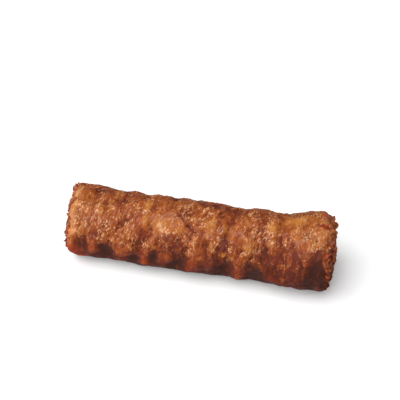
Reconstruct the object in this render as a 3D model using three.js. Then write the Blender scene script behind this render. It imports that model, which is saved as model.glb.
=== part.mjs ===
// A deep-fried stick of minced meat, lying on its side as served.
// Millimetres. X runs along the stick, its front faces -Y, and +Z is up.
// The origin is on the table, under the middle of the stick.
// Directions round the stick are in degrees: 0 faces the front, 90 up, 180 the back, -90 down.

import * as THREE from "three";
import { ImprovedNoise } from "three/addons/math/ImprovedNoise.js";
import { mergeVertices } from "three/addons/utils/BufferGeometryUtils.js";

// Driving sizes
const LENGTH = 122.2; // from the middle of one end to the middle of the other
const RADIUS = 16.4; // of the plain stick, before the girth below changes it
const END_DOME = 2.1; // how far the middle of an end stands past its rim
const DOME_FLATNESS = 0.6; // share of an end that is nearly flat
const RIM_ROUNDING = { left: 2.3, right: 3.6 }; // reach of the curve where an end turns into the side
const END_SKEW = 0.9; // at the right end, the low front stands this far past the middle
const END_BOW = 1; // at the left end, the high back and the low front both stand this far past the middle
const PRESSED_FLAT = 0.65; // height of the round underside that the table has flattened
// The crust's relief fades towards the underside, between two downward slopes (1 is straight down)
const UNDERNEATH = { reliefLost: 0.6, from: 0.3, to: 0.8 };

// Facets of the surface
const FACETS_ALONG = 66;
const FACETS_ACROSS_END = 15; // a quarter of the facets round the stick

// Sections along the stick: the radius, and how far the middle stands towards the back
const SECTIONS = [
  { along: -62, radius: 16.6, back: 0.3 },
  { along: -50, radius: 16.6, back: 0 },
  { along: -36, radius: 16.2, back: 0 },
  { along: -18, radius: 16.3, back: -0.8 },
  { along: 0, radius: 16.6, back: -0.2 },
  { along: 15, radius: 16.1, back: -0.3 },
  { along: 28, radius: 16.5, back: -0.2 },
  { along: 38, radius: 16.3, back: -0.4 },
  { along: 47, radius: 17.4, back: -0.7 },
  { along: 62, radius: 18.9, back: -0.8 },
];

// Hollows and lobes of the stick. height is at the middle, long and wide are the reaches
// along and round the stick, and slant is how far it leans along for each unit round.
const LUMP_EDGE = 2.2; // steepness of their sides, where 2 is a soft bell
const LUMPS = [
  // hollows low on the front, between the lobes
  { along: -52.5, around: 4, height: -1.1, long: 3, wide: 4.5, slant: 0.1 },
  { along: -41, around: -11, height: -2.3, long: 4.2, wide: 6, slant: 0.2 },
  { along: -28, around: -19, height: -1.9, long: 3.2, wide: 5.5, slant: 0.3 },
  { along: -18.8, around: -4, height: -1.3, long: 2.6, wide: 5, slant: 0.15 },
  { along: -8.3, around: -17, height: -2.4, long: 4.6, wide: 6, slant: 0.4 },
  { along: 13, around: -11, height: -2.6, long: 3.9, wide: 6.5, slant: 0.1 },
  { along: 26.5, around: -20, height: -2.2, long: 4.4, wide: 6, slant: 0.2 },
  { along: 56, around: 3, height: -2.2, long: 6, wide: 11, slant: 0.1 },
  // lobes that hang down between them
  { along: -47, around: 0, height: 0.8, long: 2.8, wide: 6, slant: 0.1 },
  { along: -34.5, around: -3, height: 1.1, long: 3.2, wide: 8, slant: 0.2 },
  { along: -23, around: -8, height: 0.8, long: 2.6, wide: 6, slant: 0.1 },
  { along: -1, around: -10, height: 1.3, long: 3.8, wide: 6.5, slant: 0.4 },
  { along: 19.5, around: -6, height: 1.1, long: 3.6, wide: 8.5, slant: 0.1 },
  { along: 41, around: -10, height: 0.9, long: 7, wide: 7, slant: 0 },
  // furrows that cross the stick from the hollows to the top
  { along: -5, around: 50, height: -0.9, long: 2.2, wide: 17, slant: 0.1 },
  { along: 15, around: 62, height: -0.8, long: 2.0, wide: 14, slant: 0.15 },
  { along: -25.5, around: 36, height: -0.8, long: 2.6, wide: 4, slant: 0.1 },
  { along: -20, around: 95, height: -0.8, long: 2.6, wide: 6, slant: 0.1 },
  // rises and dips of the top edge
  { along: -61, around: 134, height: 2.4, long: 3.4, wide: 7, slant: 0 },
  { along: -17, around: 132, height: 0.5, long: 7, wide: 9, slant: 0 },
  { along: -10, around: 130, height: -0.9, long: 4.5, wide: 9, slant: 0 },
  { along: 19, around: 130, height: -0.4, long: 7, wide: 10, slant: 0 },
  { along: 39, around: 130, height: -0.3, long: 5, wide: 9, slant: 0 },
  { along: 51, around: 132, height: 0.6, long: 4, wide: 8, slant: 0 },
  // corners of the right end
  { along: 63, around: -42, height: -1.4, long: 3.4, wide: 7, slant: 0 },
  { along: 62.5, around: 124, height: -3.4, long: 4.2, wide: 12, slant: 0 },
  // folds on the side that faces away
  { along: -38, around: 172, height: -1.9, long: 3.6, wide: 9, slant: -0.2 },
  { along: -14, around: 196, height: 1.0, long: 6, wide: 8, slant: 0.1 },
  { along: 5, around: 180, height: -2.2, long: 4, wide: 9, slant: -0.1 },
  { along: 32, around: 168, height: -1.8, long: 3.4, wide: 8, slant: -0.3 },
  { along: 48, around: 200, height: -2.2, long: 4.4, wide: 7, slant: 0.2 },
];

// Crust relief made by a rule: crosswise furrows, knobs and grain all over, crags on the ends
const FURROW = { depth: 0.5, ridge: 1.5, along: 7.5, round: 20, lean: 3.6, seed: 3.7 };
const KNOB = { height: 0.75, size: 5.4, seed: 11.3 };
const GRAIN = { height: 0.5, size: 2.6, seed: 29.9 };
const CRAG = { height: 1.7, size: 4.6, seed: 47.1 };
const RIM_NOTCH = { height: 0.6, size: 3.8, seed: 71.5 };

const CRUST_COLOUR = 0xa8622f;
const CRUST_ROUGHNESS = 0.5;

const noise = new ImprovedNoise();
const sectionAt = new THREE.CubicInterpolant(
  SECTIONS.map((section) => section.along),
  SECTIONS.flatMap((section) => [section.radius, section.back]),
  2,
  new Float32Array(2),
);

function wrappedDegrees(angle) {
  return THREE.MathUtils.euclideanModulo(angle + 180, 360) - 180;
}

// Half the stick's outline, from the middle of one end to the middle of the other.
// x is the distance from the stick's middle line, and y runs along it.
function stickOutline() {
  const half = LENGTH / 2;
  const rim = half - END_DOME;
  const { left, right } = RIM_ROUNDING;
  const outline = new THREE.Path();
  outline.moveTo(0, -half);
  outline.quadraticCurveTo((RADIUS - left) * DOME_FLATNESS, -half, RADIUS - left, -rim);
  outline.quadraticCurveTo(RADIUS, -rim + END_DOME / 2, RADIUS, -rim + left);
  outline.lineTo(RADIUS, rim - right);
  outline.quadraticCurveTo(RADIUS, rim - END_DOME / 2, RADIUS - right, rim);
  outline.quadraticCurveTo((RADIUS - right) * DOME_FLATNESS, half, 0, half);
  return outline;
}

// The plain stick along X: a block whose faces are drawn out to the round outline, so that
// its ends have even facets too. It is one closed surface with shared corners.
function plainStick() {
  const block = new THREE.BoxGeometry(2, 2, 2, FACETS_ALONG, FACETS_ACROSS_END, FACETS_ACROSS_END);
  block.deleteAttribute("uv");
  block.deleteAttribute("normal");
  const stick = mergeVertices(block, 1e-4);
  const positions = stick.attributes.position;
  const outline = stickOutline();
  const endShare = RADIUS / outline.getLength();
  const sideShare = 1 - 2 * endShare;
  for (let i = 0; i < positions.count; i += 1) {
    const x = positions.getX(i);
    const y = positions.getY(i);
    const z = positions.getZ(i);
    const upTheEnd = endShare * Math.max(Math.abs(y), Math.abs(z));
    let share = endShare + (sideShare * (x + 1)) / 2;
    if (x === -1) share = upTheEnd;
    if (x === 1) share = 1 - upTheEnd;
    const point = outline.getPoint(share);
    const angle = roundedAngle(y, z);
    positions.setXYZ(i, point.y, point.x * Math.cos(angle), point.x * Math.sin(angle));
  }
  stick.computeVertexNormals();
  return stick;
}

// Direction of a point on a square, with equal steps along its sides made equal turns.
function roundedAngle(y, z) {
  const eighth = Math.PI / 4;
  if (y === 0 && z === 0) return 0;
  if (Math.abs(y) >= Math.abs(z)) return eighth * (z / y) + (y < 0 ? Math.PI : 0);
  return (z > 0 ? 2 * eighth : 6 * eighth) - eighth * (y / z);
}

// Height of all hollows and lobes at one place on the side.
function lumpsAt(along, around) {
  let height = 0;
  for (const lump of LUMPS) {
    const round = THREE.MathUtils.degToRad(wrappedDegrees(around - lump.around)) * RADIUS;
    const past = along - lump.along - lump.slant * round;
    const far = Math.hypot(past / lump.long, round / lump.wide);
    height += lump.height * Math.exp(-(far ** LUMP_EDGE));
  }
  return height;
}

function noiseAt(place, { size, seed }) {
  return noise.noise(place.x / size + seed, place.y / size - seed, place.z / size + 2 * seed);
}

// Furrows run round the stick and lean along it: folded noise has sharp valleys.
function furrowsAt(place, around) {
  const lean = FURROW.lean * Math.sin(THREE.MathUtils.degToRad(around - 45));
  const folded = Math.abs(
    noise.noise(
      (place.x - lean) / FURROW.along + FURROW.seed,
      place.y / FURROW.round,
      place.z / FURROW.round + FURROW.seed,
    ),
  );
  return FURROW.ridge * folded - FURROW.depth;
}

// How far the crust stands out from the plain stick at one place.
function crustAt(place, onEnd, around) {
  const onSide = 1 - onEnd;
  const nearRim = 4 * onEnd * onSide;
  return (
    onSide * furrowsAt(place, around) +
    KNOB.height * noiseAt(place, KNOB) +
    GRAIN.height * noiseAt(place, GRAIN) +
    onEnd * CRAG.height * noiseAt(place, CRAG) +
    nearRim * RIM_NOTCH.height * noiseAt(place, RIM_NOTCH)
  );
}

// Splits every four-sided facet along its shorter diagonal, so that none is a sliver.
function splitAtShorterDiagonal(geometry) {
  const corners = geometry.index.array;
  const positions = geometry.attributes.position;
  const placeOf = (corner) => new THREE.Vector3().fromBufferAttribute(positions, corner);
  for (let i = 0; i < corners.length; i += 6) {
    const [a, b, d, , c] = corners.subarray(i, i + 6);
    if (placeOf(a).distanceTo(placeOf(c)) < placeOf(b).distanceTo(placeOf(d))) {
      corners.set([a, b, c, a, c, d], i);
    }
  }
}

// The fried stick: crust relief, then girth, lumps, skewed ends and the flat underside.
// Lumps swell or draw in the whole section round the middle line, so they cross the rim evenly.
function friedStick() {
  const half = LENGTH / 2;
  const stick = plainStick();
  const positions = stick.attributes.position;
  const place = new THREE.Vector3();
  const outward = new THREE.Vector3();
  for (let i = 0; i < positions.count; i += 1) {
    place.fromBufferAttribute(positions, i);
    outward.fromBufferAttribute(stick.attributes.normal, i);
    const around = THREE.MathUtils.radToDeg(Math.atan2(place.z, -place.y));
    const underneath = THREE.MathUtils.smoothstep(-outward.z, UNDERNEATH.from, UNDERNEATH.to);
    const relief = 1 - UNDERNEATH.reliefLost * underneath;
    place.addScaledVector(outward, relief * crustAt(place, Math.abs(outward.x), around));
    const [radius, back] = sectionAt.evaluate(THREE.MathUtils.clamp(place.x, -half, half));
    const fromMiddle = Math.hypot(place.y, place.z) / RADIUS;
    const swell = (radius + lumpsAt(place.x, around) * fromMiddle ** 2) / RADIUS;
    const towardsLowFront = -(place.y + place.z) / (RADIUS * Math.SQRT2);
    const towardsRight = THREE.MathUtils.smoothstep(place.x, 0, half);
    const towardsLeft = THREE.MathUtils.smoothstep(-place.x, 0, half);
    const skew = END_SKEW * towardsLowFront * towardsRight;
    const bow = END_BOW * towardsLowFront ** 2 * towardsLeft;
    positions.setXYZ(
      i,
      place.x + skew - bow,
      place.y * swell + back,
      Math.max(place.z * swell + radius - PRESSED_FLAT, 0),
    );
  }
  stick.computeBoundingBox();
  const middle = stick.boundingBox.getCenter(new THREE.Vector3());
  stick.translate(-middle.x, -middle.y, -stick.boundingBox.min.z);
  splitAtShorterDiagonal(stick);
  stick.computeVertexNormals();
  return stick;
}

const crust = new THREE.MeshStandardMaterial({
  name: "browned_crust",
  color: CRUST_COLOUR,
  roughness: CRUST_ROUGHNESS,
  metalness: 0,
});

const meatStick = new THREE.Mesh(friedStick(), crust);
meatStick.name = "minced_meat_stick";

const part = new THREE.Group();
part.add(meatStick);

export default part;
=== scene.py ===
import math

import bmesh
import bpy
import numpy as np
from bpy.props import FloatProperty, FloatVectorProperty, IntProperty, PointerProperty
from mathutils import Matrix, Vector


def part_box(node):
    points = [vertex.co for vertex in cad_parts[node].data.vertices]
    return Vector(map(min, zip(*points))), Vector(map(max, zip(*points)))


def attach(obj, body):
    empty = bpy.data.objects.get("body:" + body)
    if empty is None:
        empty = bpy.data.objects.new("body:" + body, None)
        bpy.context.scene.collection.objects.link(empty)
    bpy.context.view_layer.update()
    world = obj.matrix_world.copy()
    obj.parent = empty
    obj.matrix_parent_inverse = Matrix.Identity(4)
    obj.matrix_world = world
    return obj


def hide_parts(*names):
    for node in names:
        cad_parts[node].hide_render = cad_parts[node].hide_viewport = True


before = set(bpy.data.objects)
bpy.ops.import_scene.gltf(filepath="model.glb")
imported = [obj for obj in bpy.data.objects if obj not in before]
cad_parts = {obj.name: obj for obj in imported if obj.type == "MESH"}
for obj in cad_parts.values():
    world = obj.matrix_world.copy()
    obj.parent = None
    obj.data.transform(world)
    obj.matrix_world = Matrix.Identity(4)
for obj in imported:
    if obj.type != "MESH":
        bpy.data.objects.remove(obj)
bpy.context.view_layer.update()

bl_info = {
    "name": "Minced meat stick",
    "version": (1, 0, 0),
    "blender": (4, 5, 0),
    "location": "View3D > Sidebar > Meat Stick",
    "description": "Dresses a deep-fried stick of minced meat: browned crust, crumbs and a plain studio",
    "category": "Add Mesh",
}

# The solid that the crust is made from, the pieces that dress it, and the table that it lies on
SOLID = "minced_meat_stick"
CRUST = "fried_crust"
CRUMBS = "end_crumbs"
CRUST_SLOT = "browned_crust"
FRIED_COLOURS = "Fried Colours"
MM = 0.001
TABLE_Z = 0.0

SOLID_LOW, SOLID_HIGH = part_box(SOLID)
HALF_LENGTH = (SOLID_HIGH.x - SOLID_LOW.x) / 2
AXIS_HEIGHT = 16.2 * MM
MEAN_RADIUS = 16.6 * MM

# Corners of the solid that are closer than this are one corner
WELD = 0.001 * MM

# Rounds of blur on the refined crust: to even out its normals, and to find the surface that a
# point stands out from, near it and wide round it
NORMAL_ROUNDS = 8
NEAR_ROUNDS = 9
WIDE_ROUNDS = 170

# Noise seldom leaves the middle third of its range, so a depth that it should reach is tripled
NOISE_REACH = 3.0
# Neighbouring seeds lie this far apart in the noise
SEED_SPREAD = 3.7

# Crumbs to the square metre, before their spacing thins them out
CRUMB_DENSITY = 1.2 / MM**2

# The studio: half the floor's side, and the way and the distance to the softbox
FLOOR_HALF = 3.0
SOFTBOX_WAY = Vector((-0.33, -0.36, 0.87)).normalized()
SOFTBOX_DISTANCE = 0.9

# Where the middle of the stick stands in the 400 by 400 photograph, in pixels
PHOTO_SIZE = 400
STICK_AT = (201.1, 238.1)
STICK_MIDDLE = Vector((0, 0, 15.5 * MM))

# How far the marks below wander with the crust's own noise: millimetres along, degrees round
WANDER_ALONG = 5
WANDER_ROUND = 20

# Places on the crust that are darker, paler or redder than the rest, the darker and paler ones mostly
# painted shade and painted light: millimetres along the stick, degrees round it (0 faces the front, 90
# up), reach along and reach round in millimetres, shade from -1 dark to 1 pale, redness and gold from 0
# to 1 (below 0 is plum).
MARKS = [
    # painted shade: the dull dark hollows low on the front, and the shaded lower part of the right end
    (-50.4, 8, 2.0, 3.4, -0.6, 0.0, 0.0),
    (-41.0, -12, 4.0, 6.0, -0.3, 0.0, 0.0),
    (-28.0, -18, 3.0, 5.5, -0.4, 0.0, 0.0),
    (-18.8, -4, 2.2, 4.5, -0.5, 0.0, 0.0),
    (-8.3, -18, 4.4, 5.5, -0.1, 0.0, 0.0),
    (13.0, -14, 3.4, 6.5, -0.6, 0.0, 0.0),
    (26.5, -22, 4.0, 6.0, -0.8, 0.0, 0.0),
    (55.0, 24, 5.0, 6.0, -0.9, 0.0, 0.0),
    (57.5, 6, 5.5, 9.0, -1.2, 0.0, 0.0),
    (57.0, -30, 8.0, 9.0, -1.2, 0.0, 0.0),
    # the rust-red lobes between them: red colour, and painted light where they are paler
    (-58.2, 8, 2.6, 5.0, 1.1, 0.15, 0.2),
    (-47.0, -2, 2.6, 6.0, 0.9, 0.3, 0.0),
    (-33.8, -4, 3.0, 7.0, 0.9, 0.2, 0.0),
    (-23.5, -12, 2.2, 6.0, 0.8, 0.3, 0.0),
    (-14.0, -8, 2.4, 4.0, 0.35, 0.3, 0.0),
    (-1.5, -12, 2.8, 6.0, 0.2, 0.4, 0.0),
    (19.5, -14, 3.0, 6.0, 0.4, 0.3, 0.0),
    (35.0, -18, 3.4, 5.0, 0.0, 0.25, 0.0),
    (43.5, -22, 3.0, 5.0, 0.0, 0.2, 0.0),
    # red meat at the broken ends, painted light on the right end's rim, and painted shade in a slit there
    (-61.2, 64, 1.2, 3.0, -0.1, 1.0, 0.0),
    (-60.8, 34, 1.2, 3.0, -0.1, 1.0, 0.0),
    (-60.0, 2, 2.4, 5.0, 0.3, 0.9, 0.0),
    (-58.0, -24, 4.0, 6.0, 0.3, 1.0, 0.0),
    (-54.0, -40, 4.0, 4.0, 0.2, 0.9, 0.0),
    (59.5, 100, 2.0, 6.0, 0.0, 1.0, 0.0),
    (55.8, 116, 1.8, 4.0, 0.0, 1.0, 0.0),
    (60.5, 60, 2.6, 16.0, 0.9, 0.0, 0.4),
    (55.8, 88, 2.6, 1.1, -2.8, 1.0, 0.0),
    # cream inside the rim of the left end, partly a painted highlight along the rim
    (-57.8, 72, 2.2, 5.0, 0.6, 0.0, 0.5),
    (-57.8, 48, 2.4, 5.0, 0.65, 0.0, 0.4),
    (-58.0, 24, 2.4, 4.0, 0.6, 0.0, 0.4),
    # painted light on the pale and golden tops of the waves, which also have gold in them
    (-17.0, 57, 5.0, 4.5, 0.45, 0.0, 0.5),
    (-24.0, 92, 1.6, 4.0, 0.2, 0.0, 0.8),
    (-2.0, 34, 2.6, 4.0, 0.6, 0.0, 0.0),
    (-3.0, 71, 2.6, 3.0, 0.3, 0.0, 0.5),
    (5.0, 70, 2.6, 3.0, 0.35, 0.0, 0.5),
    (6.5, 33, 1.2, 2.6, 0.3, 0.0, 0.6),
    (24.0, 42, 2.6, 5.0, 0.45, 0.0, 0.4),
    (33.0, 78, 2.0, 3.0, 0.2, 0.0, 0.7),
    (49.0, 62, 4.0, 4.0, 0.5, 0.0, 0.3),
    (52.0, 56, 1.6, 1.6, 0.5, 0.0, 0.6),
    (43.0, 100, 5.5, 4.0, 0.3, 0.0, 0.6),
    (12.6, 22, 1.4, 1.4, 0.2, 0.0, 1.0),
    (-40.0, 75, 4.0, 5.0, 0.2, 0.0, 0.2),
    (-51.0, 74, 3.5, 6.0, 0.5, 0.0, 0.2),
    (-58.0, 98, 3.0, 4.0, 0.4, 0.0, 0.3),
    (-31.5, 34, 3.0, 4.0, 0.6, 0.0, 0.2),
    (-8.0, 56, 3.0, 4.0, 0.6, 0.0, 0.3),
    (56.0, 88, 4.0, 6.0, 0.45, 0.0, 0.4),
    # painted shade in the dark places in the furrows and along the far top edge, with plum colour in them
    (-21.5, 91, 1.0, 3.0, -0.2, 0.0, -1.0),
    (-7.5, 82, 2.6, 4.0, -0.2, 0.0, -0.8),
    (-3.0, 60, 1.2, 3.4, -0.2, 0.0, -0.7),
    (-9.0, 28, 1.6, 4.0, -0.4, 0.0, -0.8),
    (-26.0, 37, 2.6, 3.4, -0.2, 0.1, -0.3),
    (-36.0, 90, 3.0, 5.0, -0.8, 0.0, -0.4),
    (0.5, 60, 1.6, 3.5, -0.4, 0.0, -0.3),
    (29.5, 66, 2.5, 5.0, -0.45, 0.0, -0.3),
    (28.0, 27, 8.0, 3.0, -0.25, 0.0, -0.1),
    (29.5, 8, 3.0, 4.0, -0.3, 0.0, 0.0),
    (50.5, 46, 4.0, 4.0, -0.5, 0.0, -0.4),
    (54.0, 36, 3.0, 4.0, -0.5, 0.0, -0.2),
    (-35.5, 71, 1.0, 1.4, -0.6, 0.0, 0.0),
    (12.5, 36, 1.4, 4.4, -0.35, 0.0, -0.2),
    (13.5, 84, 1.8, 2.6, -0.3, 0.0, -0.4),
    (30.5, 38, 1.4, 2.4, -0.3, 0.0, -0.3),
    (44.5, 42, 2.4, 4.0, -0.5, 0.0, -0.8),
    (37.0, 26, 3.5, 3.0, -0.35, 0.1, -0.4),
    (44.0, 10, 3.5, 5.0, -0.6, 0.1, -0.3),
    (-44.5, 114, 5.0, 2.4, -0.5, 0.0, -0.3),
    (5.0, 112, 8.0, 3.0, -0.5, 0.0, -0.3),
    (-14.0, 118, 5.0, 3.0, -0.4, 0.0, 0.0),
]

# Painted shade in thin creases between the waves: from and to (millimetres along, degrees round), width
# in millimetres, shade.
CREASES = [
    ((-9.8, 80), (-1.2, 50), 0.7, -0.8),
    ((-1.2, 50), (-5.5, 18), 0.8, -0.7),
    ((9.8, 74), (13.0, 38), 1.3, -0.5),
    ((20.0, 52), (21.0, 30), 0.7, -0.5),
    ((28.5, 62), (31.5, 40), 0.9, -0.5),
    ((-37.5, 60), (-33.5, 34), 0.9, -0.3),
    ((-20.0, 42), (-24.0, 22), 0.9, -0.5),
    ((43.0, 60), (44.5, 30), 1.0, -0.4),
]


class CrustSizes(bpy.types.PropertyGroup):
    """Sizes of the crust's relief."""

    refinement: IntProperty(
        name="Refinement", description="Times that each facet is split in four",
        default=2, min=0, max=3)
    smoothing: IntProperty(
        name="Smoothing", description="Rounds of smoothing before the relief", default=2, min=0, max=60)
    wave_size: FloatProperty(
        name="Wave Size", description="Width of the broad crosswise wrinkles",
        default=5.0 * MM, unit="LENGTH")
    wave_depth: FloatProperty(
        name="Wave Depth", description="Depth of the broad crosswise wrinkles",
        default=0.3 * MM, unit="LENGTH")
    wrinkle_size: FloatProperty(
        name="Wrinkle Size", description="Width of the fine crosswise wrinkles",
        default=1.2 * MM, unit="LENGTH")
    wrinkle_depth: FloatProperty(
        name="Wrinkle Depth", description="Depth of the fine crosswise wrinkles",
        default=0.2 * MM, unit="LENGTH")
    stretch: FloatProperty(
        name="Stretch", description="How much longer than wide the wrinkles are", default=2.6, min=1)
    lean: FloatProperty(
        name="Lean", description="How far the wrinkles lean along the stick over its radius",
        default=5.0 * MM, unit="LENGTH")
    grain_size: FloatProperty(
        name="Grain Size", description="Size of the minced grains that show",
        default=1.3 * MM, unit="LENGTH")
    grain_height: FloatProperty(
        name="Grain Height", description="How far the grains stand out",
        default=0.18 * MM, unit="LENGTH")
    regrowth: FloatProperty(
        name="Regrowth", description="Gives back what the smoothing takes off",
        default=0.15 * MM, unit="LENGTH")
    crag_size: FloatProperty(
        name="Crag Size", description="Size of the crags on the broken ends",
        default=2.6 * MM, unit="LENGTH")
    crag_height: FloatProperty(
        name="Crag Height", description="Height of the crags on the broken ends",
        default=1.0 * MM, unit="LENGTH")
    seed: IntProperty(
        name="Seed", description="Another number gives another crust", default=4)


class CrumbSizes(bpy.types.PropertyGroup):
    """Sizes of the crumbs round the broken ends."""

    spacing: FloatProperty(
        name="Spacing", description="Least distance between two crumbs",
        default=1.4 * MM, unit="LENGTH")
    length: FloatProperty(
        name="Length", description="Length of the longest crumbs", default=4.0 * MM, unit="LENGTH")
    thickness: FloatProperty(
        name="Thickness", description="Usual thickness of the crumbs", default=1.1 * MM, unit="LENGTH")
    raggedness: FloatProperty(
        name="Raggedness", description="How far their surface is uneven",
        default=0.35 * MM, unit="LENGTH")
    seed: IntProperty(
        name="Seed", description="Another number strews them otherwise", default=9)


class CrustColours(bpy.types.PropertyGroup):
    """Colours of the fried crust, which also paint its shade and light: the dark ones in hollows, creases
    and underneath, the pale ones on crests and as glints.
    """

    # the darkest colour: burned crust, and painted shade in the deepest hollows and underneath
    burnt_and_shade: FloatVectorProperty(
        name="Burnt", description="Deepest hollows",
        subtype="COLOR", size=3, default=(0.044, 0.014, 0.010))
    # brown also gives the painted shade in the creases
    brown: FloatVectorProperty(
        name="Brown", description="Creases", subtype="COLOR", size=3, default=(0.100, 0.019, 0.008))
    russet: FloatVectorProperty(
        name="Russet", description="The crust between",
        subtype="COLOR", size=3, default=(0.208, 0.046, 0.012))
    # golden also gives the painted light on raised crust
    golden: FloatVectorProperty(
        name="Golden", description="Raised crust",
        subtype="COLOR", size=3, default=(0.275, 0.063, 0.010))
    # pale also gives the painted light on the palest crests and the painted glints of the strands
    pale: FloatVectorProperty(
        name="Pale", description="Thin crests and strands",
        subtype="COLOR", size=3, default=(0.600, 0.300, 0.145))
    gilt: FloatVectorProperty(
        name="Gilt", description="Yellow patches",
        subtype="COLOR", size=3, default=(0.400, 0.150, 0.028))
    plum: FloatVectorProperty(
        name="Plum", description="Purplish patches",
        subtype="COLOR", size=3, default=(0.120, 0.028, 0.018))
    red: FloatVectorProperty(
        name="Red", description="Meat at the broken ends",
        subtype="COLOR", size=3, default=(0.270, 0.030, 0.013))


class StageSettings(bpy.types.PropertyGroup):
    """The studio round the stick."""

    azimuth: FloatProperty(
        name="Camera Azimuth", description="0 looks along +Y",
        subtype="ANGLE", default=math.radians(11.2))
    elevation: FloatProperty(
        name="Camera Elevation", description="Above the table",
        subtype="ANGLE", default=math.radians(45))
    distance: FloatProperty(
        name="Camera Distance", description="From the point looked at", default=0.6075, unit="LENGTH")
    lens: FloatProperty(
        name="Lens", description="Focal length in millimetres", default=120)
    key_power: FloatProperty(
        name="Key Power", description="Power of the overhead softbox", default=23.0, unit="POWER")
    key_size: FloatProperty(
        name="Key Size", description="Side of the overhead softbox", default=1.4, unit="LENGTH")
    sky: FloatProperty(
        name="Fill", description="Strength of the light from all round", default=0.15)
    floor_colour: FloatVectorProperty(
        name="Floor", description="Colour of the table",
        subtype="COLOR", size=3, default=(0.8, 0.8, 0.8))
    floor_glow: FloatProperty(
        name="Floor Glow", description="Light that the table gives off, as a light table does",
        default=0.1)


class TreeWriter:
    """Adds nodes to a tree and links them, so that a tree reads like the sums that it makes."""

    def __init__(self, tree):
        self.tree = tree

    def add(self, kind, inputs=None, **settings):
        """A new node. Its inputs are numbers, or the outputs of other nodes."""
        node = self.tree.nodes.new(kind)
        for name, value in settings.items():
            setattr(node, name, value)
        for name, value in (inputs or {}).items():
            self.feed(node, name, value)
        return node

    def feed(self, node, name, value):
        """Sets or links an input, given by its number, or by its name among those in use."""
        if isinstance(name, str):
            sockets = [socket for socket in node.inputs if socket.enabled and socket.name == name]
        else:
            sockets = [node.inputs[name]]
        if not sockets:
            raise RuntimeError(f"{node.bl_idname} has no input {name}")
        if isinstance(value, bpy.types.NodeSocket):
            self.tree.links.new(value, sockets[0])
        else:
            sockets[0].default_value = value

    def out(self, node, name=None):
        """The output with this name, or the first one in use."""
        for socket in node.outputs:
            if socket.enabled and name in (None, socket.name):
                return socket
        raise RuntimeError(f"{node.bl_idname} has no output {name}")

    def result(self, kind, inputs=None, **settings):
        """The first output in use of a new node."""
        return self.out(self.add(kind, inputs, **settings))

    def math(self, operation, *values, clamp=False):
        inputs = dict(enumerate(values))
        return self.result("ShaderNodeMath", inputs, operation=operation, use_clamp=clamp)

    def product(self, first, *others, clamp=False):
        """The product of two values or more, taken from left to right."""
        for other in others[:-1]:
            first = self.math("MULTIPLY", first, other)
        return self.math("MULTIPLY", first, others[-1], clamp=clamp)

    def total(self, *terms):
        """The sum of values, each times its weight."""
        result = 0.0
        for value, weight in terms:
            result = self.math("MULTIPLY_ADD", value, weight, result)
        return result

    def vector(self, operation, *values):
        return self.result("ShaderNodeVectorMath", dict(enumerate(values)), operation=operation)

    def scaled(self, vector, factor):
        return self.result("ShaderNodeVectorMath", {0: vector, "Scale": factor}, operation="SCALE")

    def shrunk(self, vector, size):
        """A place counted in sizes, so that a pattern there has details of that size."""
        return self.scaled(vector, self.math("DIVIDE", 1.0, size))

    def split(self, vector):
        """The x, y and z of a vector."""
        return tuple(self.add("ShaderNodeSeparateXYZ", {0: vector}).outputs)

    def join(self, x, y, z):
        return self.result("ShaderNodeCombineXYZ", {0: x, 1: y, 2: z})

    def drawn_out(self, vector, shift, stretch):
        """A place shifted back along x, for a pattern that is longer across x than along it."""
        x, y, z = self.split(vector)
        across = self.math("SUBTRACT", x, shift)
        return self.join(across, self.math("DIVIDE", y, stretch), self.math("DIVIDE", z, stretch))

    def step(self, value, low, high, to_low=0.0, to_high=1.0, smooth=True):
        """Goes from to_low to to_high while the value goes from low to high."""
        return self.result(
            "ShaderNodeMapRange",
            {"Value": value, "From Min": low, "From Max": high, "To Min": to_low, "To Max": to_high},
            interpolation_type="SMOOTHSTEP" if smooth else "LINEAR",
        )

    def noise(self, vector, seed, detail=2.0, roughness=0.5, scale=1.0, output=0):
        """Noise from 0 to 1: output 0 is one number, and output 1 is three as a vector."""
        inputs = {"Vector": vector, "W": seed, "Scale": scale, "Detail": detail, "Roughness": roughness}
        return self.add("ShaderNodeTexNoise", inputs, noise_dimensions="4D").outputs[output]

    def ripple(self, vector, seed, **settings):
        """One noise, up and down from 0."""
        return self.math("SUBTRACT", self.noise(vector, seed, **settings), 0.5)

    def drift(self, vector, seed, **settings):
        """Three noises as a vector, to and fro from 0."""
        return self.vector("SUBTRACT", self.noise(vector, seed, output=1, **settings), (0.5, 0.5, 0.5))

    def cells(self, vector, smoothness):
        """Distance from the middle of the nearest of many rounded cells."""
        inputs = {"Vector": vector, "Scale": 1.0, "Smoothness": smoothness}
        return self.result("ShaderNodeTexVoronoi", inputs, feature="SMOOTH_F1", voronoi_dimensions="3D")

    def blurred(self, vector, rounds):
        """A vector on the mesh, evened out between neighbouring points in so many rounds."""
        inputs = {"Value": vector, "Iterations": rounds, "Weight": 1.0}
        return self.result("GeometryNodeBlurAttribute", inputs, data_type="FLOAT_VECTOR")

    def store(self, geometry, name, value, data_type="FLOAT", domain="POINT"):
        """The geometry, with a value kept on it under a name."""
        inputs = {"Geometry": geometry, "Name": name, "Value": value}
        return self.result("GeometryNodeStoreNamedAttribute", inputs, data_type=data_type, domain=domain)

    def laid_down(self, geometry, place):
        """The geometry with its points moved, and none of them below the table."""
        x, y, z = self.split(place)
        above_table = self.join(x, y, self.math("MAXIMUM", z, TABLE_Z))
        return self.result("GeometryNodeSetPosition", {"Geometry": geometry, "Position": above_table})

    def finish(self, geometry, material):
        """Ends a tree: smooth shading, real meshes instead of instances, and the material."""
        shaded = self.result("GeometryNodeSetShadeSmooth", {"Geometry": geometry, "Shade Smooth": True})
        real = self.result("GeometryNodeRealizeInstances", {"Geometry": shaded})
        coloured = self.result("GeometryNodeSetMaterial", {"Geometry": real, "Material": material})
        self.add("NodeGroupOutput", {"Geometry": coloured})


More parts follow.
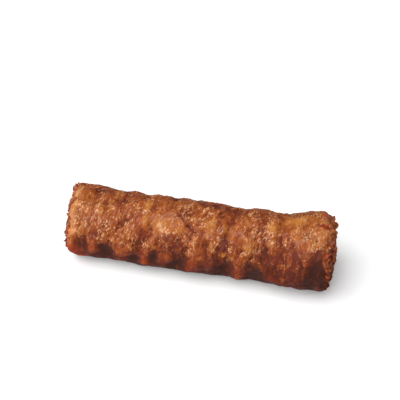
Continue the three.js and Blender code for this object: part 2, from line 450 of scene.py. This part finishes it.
def tree_inputs(tree, inputs):
    """Gives a node tree its named inputs: (name, socket type, default) each."""
    for name, kind, default in inputs:
        socket = tree.interface.new_socket(name=name, in_out="INPUT", socket_type=kind)
        if default is not None:
            socket.default_value = default


def settings_tree(name, sizes):
    """A Geometry Nodes tree with one input for each setting of a property group."""
    tree = bpy.data.node_groups.new(name, "GeometryNodeTree")
    kinds = {"INT": "NodeSocketInt", "FLOAT": "NodeSocketFloat"}
    settings = [sizes.bl_rna.properties[key] for key in sizes.__annotations__]
    tree_inputs(tree, [
        ("Geometry", "NodeSocketGeometry", None),
        *((setting.name, kinds[setting.type], setting.default) for setting in settings),
        ("Material", "NodeSocketMaterial", None),
    ])
    tree.interface.new_socket(name="Geometry", in_out="OUTPUT", socket_type="NodeSocketGeometry")
    return tree


def crust_tree():
    """The crust's relief as a Geometry Nodes tree, which works in millimetres inside."""
    tree = settings_tree("Crust Relief", CrustSizes)
    w = TreeWriter(tree)
    given = w.add("NodeGroupInput").outputs
    seed = w.math("MULTIPLY", given["Seed"], SEED_SPREAD)

    def size(name):
        return w.math("DIVIDE", given[name], MM)

    def own_seed(offset):
        return w.math("ADD", seed, offset)

    refined = w.result(
        "GeometryNodeSubdivideMesh", {"Mesh": given["Geometry"], "Level": given["Refinement"]})
    position = w.result("GeometryNodeInputPosition")
    soft = w.blurred(position, given["Smoothing"])
    smooth = w.result("GeometryNodeSetPosition", {"Geometry": refined, "Position": soft})

    # The smoothed stick's own place and direction, kept from before the relief
    even = w.blurred(w.result("GeometryNodeInputNormal"), NORMAL_ROUNDS)
    kept = w.add("GeometryNodeCaptureAttribute", {"Geometry": smooth}, domain="POINT")
    kept.capture_items.new("VECTOR", "Place")
    kept.capture_items.new("VECTOR", "Outward")
    w.feed(kept, "Place", w.scaled(position, 1 / MM))
    w.feed(kept, "Outward", w.vector("NORMALIZE", even))
    place = kept.outputs["Place"]
    outward = kept.outputs["Outward"]
    outward_x, _, outward_z = w.split(outward)
    on_end = w.step(w.math("ABSOLUTE", outward_x), 0.35, 0.85)
    on_side = w.math("SUBTRACT", 1.0, on_end)

    # Wrinkles run round the stick and lean along it as they climb
    _, y, z = w.split(place)
    above = w.math("SUBTRACT", z, AXIS_HEIGHT / MM)
    climb = w.math("DIVIDE", w.math("ADD", y, above), math.sqrt(2) * MEAN_RADIUS / MM)
    leaning = w.drawn_out(place, w.math("MULTIPLY", climb, size("Lean")), given["Stretch"])
    swirl = w.drift(place, seed, scale=0.22)
    warped = w.vector("ADD", leaning, w.scaled(swirl, 4.0))
    wave = w.ripple(w.shrunk(warped, size("Wave Size")), seed, detail=1)
    wave = w.product(size("Wave Depth"), NOISE_REACH, wave)
    wrinkle = w.ripple(w.shrunk(warped, size("Wrinkle Size")), own_seed(9.0), detail=3, roughness=0.65)
    wrinkle = w.product(size("Wrinkle Depth"), NOISE_REACH, wrinkle)

    # Minced grains, stronger in patches
    jitter = w.drift(place, own_seed(5.0), detail=1, scale=0.9)
    shaken = w.vector("ADD", place, w.scaled(jitter, 0.9))
    grain = w.math("SUBTRACT", 0.45, w.cells(w.shrunk(shaken, size("Grain Size")), 0.35))
    patch = w.step(w.noise(place, own_seed(2.0), detail=1, scale=0.16), 0.4, 0.62, 0.35, 1.0)
    grain = w.product(patch, 2.0, size("Grain Height"), grain)

    # Crags on the ends: lumps of meat that broke off at different depths
    crag_place = w.vector("ADD", place, w.scaled(jitter, 2.2))
    lumps = w.math("SUBTRACT", 0.6, w.cells(w.shrunk(crag_place, size("Crag Size")), 0.2))
    depths = w.ripple(w.scaled(place, 0.3), own_seed(7.0), detail=3, roughness=0.6)
    crag = w.math("ADD", lumps, w.math("MULTIPLY", depths, 2.2))
    crag = w.product(crag, w.step(on_end, 0.6, 1.0), size("Crag Height"))

    # All of it together, with faint wrinkles on the ends and weaker relief underneath
    wrinkled = w.math("ADD", w.math("MULTIPLY", on_side, 0.8), 0.2)
    relief = w.math("MULTIPLY", w.math("ADD", wave, wrinkle), wrinkled)
    relief = w.math("ADD", relief, w.math("ADD", grain, crag))
    relief = w.math("ADD", relief, size("Regrowth"))
    relief = w.product(relief, w.step(outward_z, -0.2, -0.7, 1.0, 0.3), MM)
    shaped = w.laid_down(kept.outputs[0], w.vector("ADD", position, w.scaled(outward, relief)))

    # How far each point stands out from the surface round it, near and wide, which the crust's colour
    # turns into painted shade in recesses and painted light on crests
    for name, rounds in (("raised", NEAR_ROUNDS), ("raised_wide", WIDE_ROUNDS)):
        rise = w.vector("SUBTRACT", position, w.blurred(position, rounds))
        height = w.add("ShaderNodeVectorMath", {0: rise, 1: outward}, operation="DOT_PRODUCT")
        shaped = w.store(shaped, name, w.math("DIVIDE", w.out(height, "Value"), MM))
    shaped = w.store(shaped, "on_end", on_end)
    stir = w.drift(place, own_seed(11.0), detail=3, roughness=0.6, scale=0.3)
    shaped = w.store(shaped, "stir", stir, "FLOAT_VECTOR")
    w.finish(shaped, given["Material"])
    return tree


def crumbs_tree():
    """Shreds of meat that stick out round the rims of the ends, half sunk in the crust."""
    tree = settings_tree("End Crumbs", CrumbSizes)
    w = TreeWriter(tree)
    given = w.add("NodeGroupInput").outputs
    seed = given["Seed"]

    def random(low, high, offset, kind="FLOAT"):
        inputs = {"Min": low, "Max": high, "Seed": w.math("ADD", seed, offset)}
        return w.result("FunctionNodeRandomValue", inputs, data_type=kind)

    # They grow round the rims, not low down, and more thickly in some stretches
    on_end = w.result("GeometryNodeInputNamedAttribute", {"Name": "on_end"}, data_type="FLOAT")
    place = w.result("GeometryNodeInputPosition")
    in_mm = w.scaled(place, 1 / MM)
    x, y, z = w.split(place)
    above = w.math("SUBTRACT", z, AXIS_HEIGHT)
    from_axis = w.math("SQRT", w.math("ADD", w.math("POWER", y, 2.0), w.math("POWER", above, 2.0)))
    along = w.math("DIVIDE", w.math("ABSOLUTE", x), HALF_LENGTH)
    rim = w.product(
        w.step(on_end, 0.2, 0.8),
        w.step(from_axis, 0.7 * MEAN_RADIUS, 0.85 * MEAN_RADIUS),
        w.step(z, 0.3 * AXIS_HEIGHT, 0.9 * AXIS_HEIGHT),
        w.step(along, 0.92, 0.95),
        w.step(w.noise(in_mm, seed, scale=0.22), 0.40, 0.52, 0.4, 1.0),
    )
    strewn = w.add(
        "GeometryNodeDistributePointsOnFaces",
        {
            "Mesh": given["Geometry"],
            "Distance Min": given["Spacing"],
            "Density Max": CRUMB_DENSITY,
            "Density Factor": rim,
            "Seed": seed,
        },
        distribute_method="POISSON",
    )

    # A ball for each, drawn out, turned and tilted by chance, and now and then a plump one
    ball = w.result("GeometryNodeMeshIcoSphere", {"Radius": 0.5, "Subdivisions": 2})
    plump = w.math("MULTIPLY_ADD", w.math("POWER", random(0.0, 1.0, 6), 4.0), 1.7, 0.85)
    scale = w.join(
        w.product(given["Thickness"], random(0.5, 1.4, 1), plump),
        w.product(given["Thickness"], random(0.6, 1.9, 5), plump),
        w.product(given["Length"], random(0.35, 1.0, 2)),
    )
    tilt = random((-1.1, -1.1, -math.pi), (1.1, 1.1, math.pi), 3, "FLOAT_VECTOR")
    turn = w.result(
        "FunctionNodeRotateRotation",
        {"Rotation": w.out(strewn, "Rotation"), "Rotate By": tilt},
        rotation_space="LOCAL",
    )
    crumbs = w.result(
        "GeometryNodeInstanceOnPoints",
        {"Points": strewn.outputs[0], "Instance": ball, "Rotation": turn, "Scale": scale},
    )
    crumbs = w.store(crumbs, "crumb", random(0.0, 1.0, 4), domain="INSTANCE")
    real = w.result("GeometryNodeRealizeInstances", {"Geometry": crumbs})

    # Their surface is uneven, and none reaches below the table
    raggedness = w.math("DIVIDE", given["Raggedness"], MM / NOISE_REACH)
    ragged = w.vector("ADD", in_mm, w.scaled(w.drift(in_mm, seed, scale=1.1), raggedness))
    w.finish(w.laid_down(real, w.scaled(ragged, MM)), given["Material"])
    return tree


def placed(name, data):
    """A new object in the scene."""
    made = bpy.data.objects.new(name, data)
    bpy.context.scene.collection.objects.link(made)
    return made


def made_plain(source, name, tree, settings, material):
    """Runs a Geometry Nodes tree on an object, and leaves a plain mesh object in its place."""
    values = {"Material": material}
    for key in settings.__annotations__:
        values[settings.bl_rna.properties[key].name] = getattr(settings, key)
    modifier = source.modifiers.new(tree.name, "NODES")
    modifier.node_group = tree
    for socket in tree.interface.items_tree:
        if socket.item_type == "SOCKET" and socket.in_out == "INPUT" and socket.name in values:
            modifier[socket.identifier] = values[socket.name]
    evaluated = source.evaluated_get(bpy.context.evaluated_depsgraph_get())
    mesh = bpy.data.meshes.new_from_object(evaluated)
    mesh.name = name
    bpy.data.objects.remove(source)
    return placed(name, mesh)


def paired_copy(node, name):
    """A copy of a solid's mesh with its corners merged and its triangles joined in pairs.

    Splitting a pair makes a third fewer faces than splitting two triangles does, which keeps
    the refined crust under 200,000 triangles.
    """
    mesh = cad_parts[node].data.copy()
    shape = bmesh.new()
    shape.from_mesh(mesh)
    bmesh.ops.remove_doubles(shape, verts=shape.verts, dist=WELD)
    bmesh.ops.join_triangles(
        shape, faces=shape.faces, angle_face_threshold=math.pi, angle_shape_threshold=math.pi)
    shape.to_mesh(mesh)
    shape.free()
    mesh.materials.clear()
    for layer in list(mesh.attributes):
        if layer.name in ("sharp_face", "sharp_edge", "custom_normal"):
            mesh.attributes.remove(layer)
    return placed(name, mesh)


def read_vectors(items, field):
    """A vector of each of a mesh's points, as rows of three numbers."""
    values = np.empty(len(items) * 3, np.float32)
    items.foreach_get(field, values)
    return values.reshape(-1, 3)


def arc(angle):
    """How many millimetres round the stick an angle in degrees is."""
    return np.radians(angle) * MEAN_RADIUS / MM


def paint_marks(piece):
    """Stores the shade, redness and gold of MARKS and CREASES on a piece, point by point."""
    mesh = piece.data
    points = read_vectors(mesh.vertices, "co")
    stir = read_vectors(mesh.attributes["stir"].data, "vector")
    above = points[:, 2] - AXIS_HEIGHT
    along = points[:, 0] / MM + WANDER_ALONG * stir[:, 0]
    around = np.degrees(np.arctan2(above, -points[:, 1])) + WANDER_ROUND * stir[:, 1]
    from_axis = np.hypot(points[:, 1], above) / MEAN_RADIUS
    outside = np.clip((from_axis - 0.7) / 0.2, 0, 1)
    shade = np.zeros(len(points))
    red = np.zeros(len(points))
    gold = np.zeros(len(points))
    for at, angle, reach_along, reach_round, tone, redness, goldness in MARKS:
        turn = (around - angle + 180) % 360 - 180
        off_along = (along - at) / reach_along
        off_round = arc(turn) / reach_round
        weight = outside * np.exp(-(off_along**2 + off_round**2))
        shade += tone * weight
        red = np.maximum(red, redness * weight)
        gold += goldness * weight
    flat = np.stack((along, arc(around)), axis=1)
    for start, end, width, tone in CREASES:
        first, last = (np.array((x, arc(angle))) for x, angle in (start, end))
        share = np.clip((flat - first) @ (last - first) / np.sum((last - first) ** 2), 0, 1)
        off = np.linalg.norm(flat - first - share[:, None] * (last - first), axis=1)
        shade += tone * np.exp(-((off / width) ** 2))
    for name, values in (("shade", shade), ("redness", red), ("gold", gold)):
        layer = mesh.attributes.new(name, "FLOAT", "POINT")
        layer.data.foreach_set("value", values.astype(np.float32))


def fried_colours_group():
    """Shader group, built once: fried meat's colour, from burned crust and painted shade at tone 0 to
    pale crust and painted light at tone 1.
    """
    group = bpy.data.node_groups.get(FRIED_COLOURS)
    if group is not None:
        return group
    colours = bpy.context.scene.meat_stick_colours
    group = bpy.data.node_groups.new(FRIED_COLOURS, "ShaderNodeTree")
    tree_inputs(group, [("Tone", "NodeSocketFloat", 0.5)])
    group.interface.new_socket(name="Color", in_out="OUTPUT", socket_type="NodeSocketColor")
    w = TreeWriter(group)
    ramp = w.add("ShaderNodeValToRGB", {0: w.add("NodeGroupInput").outputs["Tone"]})
    stops = [
        (0.04, colours.burnt_and_shade),
        (0.26, colours.brown),
        (0.50, colours.russet),
        (0.78, colours.golden),
        (1.00, colours.pale),
    ]
    elements = ramp.color_ramp.elements
    while len(elements) < len(stops):
        elements.new(0.5)
    for element, (tone, colour) in zip(elements, stops):
        element.position = tone
        element.color = (*colour, 1.0)
    w.add("NodeGroupOutput", {"Color": ramp.outputs[0]})
    return group


def fibres_group():
    """Shader group: strands of meat that lean along the stick, as a soft height round 0."""
    group = bpy.data.node_groups.new("Leaning Fibres", "ShaderNodeTree")
    tree_inputs(group, [
        ("Place", "NodeSocketVector", None),
        ("Width", "NodeSocketFloat", 0.9),
        ("Stretch", "NodeSocketFloat", 3.0),
        ("Lean", "NodeSocketFloat", 0.2),
        ("Detail", "NodeSocketFloat", 1.0),
        ("Roughness", "NodeSocketFloat", 0.5),
        ("Seed", "NodeSocketFloat", 0.0),
    ])
    group.interface.new_socket(name="Height", in_out="OUTPUT", socket_type="NodeSocketFloat")
    w = TreeWriter(group)
    given = w.add("NodeGroupInput").outputs
    place = given["Place"]
    seed = given["Seed"]
    swirl = w.drift(place, seed, detail=1, scale=0.09)
    curl = w.drift(place, seed, detail=1, scale=0.9)
    stirred = w.vector("ADD", w.vector("ADD", place, w.scaled(swirl, 8.0)), w.scaled(curl, 0.5))
    _, y, z = w.split(stirred)
    climb = w.math("MULTIPLY", w.math("ADD", y, z), w.math("DIVIDE", given["Lean"], math.sqrt(2)))
    strands = w.shrunk(w.drawn_out(stirred, climb, given["Stretch"]), given["Width"])
    height = w.ripple(strands, seed, detail=given["Detail"], roughness=given["Roughness"])
    w.add("NodeGroupOutput", {"Height": height})
    return group


def new_material(name):
    """An empty node material, with a writer for its tree, and its places in metres and millimetres."""
    material = bpy.data.materials.new(name)
    material.use_nodes = True
    material.node_tree.nodes.clear()
    w = TreeWriter(material.node_tree)
    at = w.add("ShaderNodeTexCoord").outputs["Object"]
    return material, w, at, w.scaled(at, 1 / MM)


def finish_material(w, inputs):
    """Ends a material's tree with its shader."""
    shader = w.add("ShaderNodeBsdfPrincipled", inputs)
    w.add("ShaderNodeOutputMaterial", {"Surface": shader.outputs[0]})


def painted(w, name):
    """A value stored on the mesh."""
    return w.add("ShaderNodeAttribute", attribute_name=name, attribute_type="GEOMETRY").outputs["Fac"]


def radii_up(w, z):
    """Height above the stick's axis, counted in its radius."""
    return w.math("DIVIDE", w.math("SUBTRACT", z, AXIS_HEIGHT), MEAN_RADIUS)


def fried(w, tone):
    """The colour of fried meat at a tone."""
    return w.add("ShaderNodeGroup", {"Tone": tone}, node_tree=fried_colours_group()).outputs["Color"]


def mixed(w, factor, below, above):
    """A plain colour laid over another colour."""
    return w.result("ShaderNodeMix", {"Factor": factor, "A": below, "B": (*above, 1.0)}, data_type="RGBA")


def crust_material():
    """Fried crust: pale strands as painted glints over rust, golden and plum patches, with painted shade
    dark brown in the hollows, creases and underneath.
    """
    colours = bpy.context.scene.meat_stick_colours
    material, w, at, mm = new_material(CRUST_SLOT)
    raised = painted(w, "raised")
    wide = painted(w, "raised_wide")
    on_end = painted(w, "on_end")
    shade = painted(w, "shade")
    redness = painted(w, "redness")
    gold = painted(w, "gold")
    _, y, z = w.split(at)
    back = w.math("DIVIDE", y, MEAN_RADIUS)
    up = radii_up(w, z)
    side = w.math("SUBTRACT", 1.0, on_end)
    group = fibres_group()

    def fibres(width, stretch, lean, seed, detail=0.6, roughness=0.5):
        inputs = {"Place": mm, "Width": width, "Stretch": stretch, "Lean": lean, "Seed": seed}
        inputs.update({"Detail": detail, "Roughness": roughness})
        return w.add("ShaderNodeGroup", inputs, node_tree=group).outputs["Height"]

    # Strands of several widths, and noise that does not follow them
    long_strands = fibres(1.0, 3.0, 0.22, 2.0)
    short_strands = fibres(0.9, 2.2, 0.05, 7.0)
    weave = fibres(3.2, 2.2, 0.18, 21.0, detail=4.0, roughness=0.85)
    fleck = fibres(0.85, 2.0, 0.12, 4.0, detail=3.0, roughness=0.8)
    patches = fibres(4.6, 2.3, 0.22, 12.0, detail=3.0, roughness=0.6)
    broad = w.ripple(mm, 1.3, detail=2, scale=0.12)
    grit = w.ripple(mm, 6.4, detail=2, roughness=0.6, scale=2.4)

    # The pattern is strong in some places and faint in others, and crumbly on the broken ends
    rich = w.step(w.noise(mm, 9.7, detail=1, scale=0.1), 0.38, 0.62, 0.5, 1.8)
    crumbly = w.ripple(mm, 8.8, detail=4, roughness=0.75, scale=0.45)
    weave = w.product(w.math("SQRT", rich), side, weave)
    weave = w.total((weave, 1.0), (w.math("MULTIPLY", crumbly, on_end), 1.5))
    weave = w.math("MAXIMUM", weave, w.math("MULTIPLY", weave, 0.75))

    # How dark or light the crust is before the strands: noise, with painted shade and painted light laid
    # in
    tone = w.total(
        # painted shade in recesses and painted light on crests
        (raised, 0.7),
        (wide, 0.06),
        (broad, 0.4),
        (weave, 2.0),
        (grit, 0.4),
        # the marks and creases: painted shade and painted light
        (shade, 0.35),
        # painted shade, darker towards the underside
        (w.step(up, 0.8, -0.75, 0.04, -0.54, smooth=False), 1.0),
        # painted shade on the far side of the top
        (w.step(back, 0.2, 0.9, 0.0, -0.06), 1.0),
        # painted shade on the lower half of each end
        (w.math("MULTIPLY", on_end, w.step(up, -0.4, 0.5, -0.2, 0.06)), 1.0),
    )
    tone = w.math("ADD", tone, 0.47, clamp=True)
    least = w.math("MULTIPLY", on_end, w.total((crumbly, 0.8), (grit, 0.2), (0.27, 1.0)))
    most = w.total((weave, 1.6), (grit, 0.6), (0.84, 1.0))
    tone = w.math("MAXIMUM", w.math("MINIMUM", tone, most), least)
    crust = fried(w, tone)

    # Golden patches on the lighter crust of the upper side, and plum ones
    high = w.step(up, -0.3, 0.55)
    gilt = w.step(w.total((patches, 1.0), (broad, 0.5)), 0.04, 0.18, 0.0, 0.5)
    gilt = w.math("ADD", gilt, gold, clamp=True)
    crust = mixed(w, w.product(w.step(tone, 0.25, 0.5), high, gilt), crust, colours.gilt)
    plum = w.step(patches, -0.05, -0.18, 0.0, 0.85)
    plum = w.math("SUBTRACT", plum, w.math("MULTIPLY", gold, 0.8), clamp=True)
    crust = mixed(w, plum, crust, colours.plum)

    # Painted glints: pale strands, thick in some patches and few in others, on the upper side and the
    # lighter crust
    dense = w.step(w.total((weave, 1.0), (wide, 0.05)), -0.06, 0.08, 0.15, 0.95)
    dense = w.math("ADD", dense, w.math("MULTIPLY", shade, 0.5), clamp=True)
    glint_strand = w.step(w.total((fleck, 1.0), (dense, 0.05)), 0.06, 0.15)
    glint_strand = w.product(dense, w.step(up, 0.0, 0.7, 0.08, 1.0), glint_strand)
    glint_strand = w.product(rich, side, glint_strand, clamp=True)
    glint_strand = w.math("MULTIPLY", glint_strand, w.step(tone, 0.15, 0.4))
    crust = mixed(w, glint_strand, crust, colours.pale)

    # Red meat where the ends broke
    broken = w.step(w.noise(mm, 3.3, detail=2, scale=0.35), 0.45, 0.62, 0.0, 0.55)
    broken = w.product(broken, w.step(up, -0.2, 0.5), on_end)
    red = w.math("MAXIMUM", w.math("MULTIPLY", redness, 0.9), broken)
    crust = mixed(w, red, crust, colours.red)

    # A thin film of fat on the upper side, and the strands as fine relief
    film = w.math("MULTIPLY", w.step(short_strands, -0.04, 0.12, 0.0, 0.55), w.step(tone, 0.3, 0.6))
    film = w.math("MULTIPLY", film, w.math("SUBTRACT", 1.0, plum))
    facing = w.out(w.add("ShaderNodeLayerWeight", {"Blend": 0.5}), "Facing")
    film = w.product(w.step(facing, 0.8, 0.45), high, film)
    height = w.total((glint_strand, 0.35), (long_strands, 0.9), (short_strands, 0.6), (grit, 0.15))
    height = w.math("MULTIPLY", height, w.step(tone, 0.0, 0.35, 0.35, 1.0))
    bump = w.add("ShaderNodeBump", {"Strength": 0.9, "Distance": 0.5 * MM, "Height": height})
    finish_material(w, {
        "Base Color": crust,
        "Roughness": w.step(w.noise(mm, 5.5, detail=1, scale=0.5), 0.35, 0.65, 0.5, 0.7),
        "Normal": bump.outputs[0],
        "Specular IOR Level": 0.03,
        "Coat Weight": film,
        "Coat Roughness": 0.22,
    })
    return material


def crumbs_material():
    """Fried shreds: each its own shade of the crust's colours, some of them red."""
    colours = bpy.context.scene.meat_stick_colours
    material, w, at, mm = new_material("fried_crumbs")
    crumb = painted(w, "crumb")
    x, _, z = w.split(at)
    up = radii_up(w, z)
    uneven = w.ripple(mm, 2.2, detail=2, roughness=0.6, scale=1.2)
    # each crumb's own tone and uneven noise, with painted light on the upper crumbs and painted shade on
    # the lower ones
    tone = w.total((crumb, 0.5), (uneven, 0.5), (w.step(up, 0.5, -0.5, 0.22, -0.3, smooth=False), 1.0))
    tone = w.math("ADD", tone, 0.15, clamp=True)

    # More of them are red at the left end and in some stretches, and none low down
    red_share = w.step(x, -HALF_LENGTH, HALF_LENGTH, 0.55, 0.25)
    red = w.step(w.math("SUBTRACT", crumb, red_share), 0.05, -0.15, 0.0, 0.85)
    fresh = w.step(w.noise(mm, 2.0, detail=1, scale=0.12), 0.44, 0.56)
    red = w.product(fresh, w.step(up, -0.4, 0.2), red)
    finish_material(w, {
        "Base Color": mixed(w, red, fried(w, tone), colours.red),
        "Roughness": 0.55,
        "Specular IOR Level": 0.05,
        "Coat Weight": w.step(up, -0.2, 0.5, 0.0, 0.35),
        "Coat Roughness": 0.25,
    })
    return material


class MEATSTICK_OT_crust(bpy.types.Operator):
    """Make the browned crust over the whole stick"""

    bl_idname = "meat_stick.crust"
    bl_label = "Browned Crust"

    def execute(self, context):
        source = paired_copy(SOLID, "crust_source")
        sizes = context.scene.meat_stick_sizes
        crust = made_plain(source, CRUST, crust_tree(), sizes, crust_material())
        paint_marks(crust)
        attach(crust, "root")
        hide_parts(SOLID)
        return {"FINISHED"}


class MEATSTICK_OT_crumbs(bpy.types.Operator):
    """Strew crumbs round the broken ends of the crust"""

    bl_idname = "meat_stick.crumbs"
    bl_label = "End Crumbs"

    def execute(self, context):
        crust = bpy.data.objects.get(CRUST)
        if crust is None:
            raise RuntimeError("Make the crust first, because the crumbs sit on it")
        source = placed("crumbs_source", crust.data.copy())
        sizes = context.scene.meat_stick_crumbs
        crumbs = made_plain(source, CRUMBS, crumbs_tree(), sizes, crumbs_material())
        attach(crumbs, "root")
        return {"FINISHED"}


def plain_material(name, colour, roughness, glow):
    """A plain material for the studio, which may glow a little."""
    material = bpy.data.materials.new(name)
    material.use_nodes = True
    shader = material.node_tree.nodes["Principled BSDF"]
    shader.inputs["Base Color"].default_value = (*colour, 1.0)
    shader.inputs["Roughness"].default_value = roughness
    shader.inputs["Emission Color"].default_value = (1.0, 1.0, 1.0, 1.0)
    shader.inputs["Emission Strength"].default_value = glow
    return material


def place_floor(stage):
    """A square table top under the stick."""
    signs = ((-1, -1), (1, -1), (1, 1), (-1, 1))
    corners = [(x * FLOOR_HALF, y * FLOOR_HALF, TABLE_Z) for x, y in signs]
    mesh = bpy.data.meshes.new("floor")
    mesh.from_pydata(corners, [], [(0, 1, 2, 3)])
    mesh.materials.append(plain_material("floor", stage.floor_colour, 0.9, stage.floor_glow))
    placed("floor", mesh)


def place_lights(context, stage):
    """A white light from all round, and a softbox above, in front and to the left."""
    world = bpy.data.worlds.new("studio")
    world.use_nodes = True
    background = world.node_tree.nodes["Background"]
    background.inputs["Color"].default_value = (1.0, 1.0, 1.0, 1.0)
    background.inputs["Strength"].default_value = stage.sky
    context.scene.world = world

    lamp = bpy.data.lights.new("softbox", "AREA")
    lamp.energy = stage.key_power
    lamp.size = stage.key_size
    softbox = placed("softbox", lamp)
    softbox.location = SOFTBOX_WAY * SOFTBOX_DISTANCE
    softbox.rotation_mode = "QUATERNION"
    softbox.rotation_quaternion = SOFTBOX_WAY.to_track_quat("Z", "Y")


def place_camera(context, stage):
    """A long lens that looks down on the stick from the front and slightly from the right."""
    flat = math.cos(stage.elevation)
    cosine = math.cos(stage.azimuth)
    sine = math.sin(stage.azimuth)
    back = Vector((sine * flat, -cosine * flat, math.sin(stage.elevation)))
    right = Vector((cosine, sine, 0))
    up = back.cross(right)
    camera = bpy.data.cameras.new("camera")
    camera.lens = stage.lens
    camera.dof.use_dof = False
    pixel = stage.distance * camera.sensor_width / camera.lens / PHOTO_SIZE
    off_right = (STICK_AT[0] - PHOTO_SIZE / 2) * pixel
    off_down = (STICK_AT[1] - PHOTO_SIZE / 2) * pixel
    target = STICK_MIDDLE - right * off_right + up * off_down
    holder = placed("camera", camera)
    turn = Matrix((right, up, back)).transposed().to_4x4()
    holder.matrix_world = Matrix.Translation(target + back * stage.distance) @ turn
    context.scene.camera = holder


class MEATSTICK_OT_stage(bpy.types.Operator):
    """Make the floor, the soft light and the camera"""

    bl_idname = "meat_stick.stage"
    bl_label = "Studio"

    def execute(self, context):
        stage = context.scene.meat_stick_stage
        place_floor(stage)
        place_lights(context, stage)
        place_camera(context, stage)
        context.scene.view_settings.view_transform = "Standard"
        return {"FINISHED"}


class MEATSTICK_PT_panel(bpy.types.Panel):
    """The stick's operators and settings"""

    bl_idname = "MEATSTICK_PT_panel"
    bl_label = "Minced Meat Stick"
    bl_space_type = "VIEW_3D"
    bl_region_type = "UI"
    bl_category = "Meat Stick"

    def draw(self, context):
        for operator in OPERATORS:
            self.layout.operator(operator.bl_idname)
        for name, group in GROUPS.items():
            settings = getattr(context.scene, name)
            box = self.layout.box()
            for key in group.__annotations__:
                box.prop(settings, key)


OPERATORS = (MEATSTICK_OT_crust, MEATSTICK_OT_crumbs, MEATSTICK_OT_stage)
GROUPS = {
    "meat_stick_sizes": CrustSizes,
    "meat_stick_crumbs": CrumbSizes,
    "meat_stick_colours": CrustColours,
    "meat_stick_stage": StageSettings,
}
CLASSES = (*GROUPS.values(), *OPERATORS, MEATSTICK_PT_panel)


def register():
    for cls in CLASSES:
        bpy.utils.register_class(cls)
    for name, group in GROUPS.items():
        setattr(bpy.types.Scene, name, PointerProperty(type=group))


def unregister():
    for name in GROUPS:
        delattr(bpy.types.Scene, name)
    for cls in reversed(CLASSES):
        bpy.utils.unregister_class(cls)


def main():
    register()
    bpy.ops.meat_stick.crust()
    bpy.ops.meat_stick.crumbs()
    bpy.ops.meat_stick.stage()


if __name__ == "__main__":
    main()
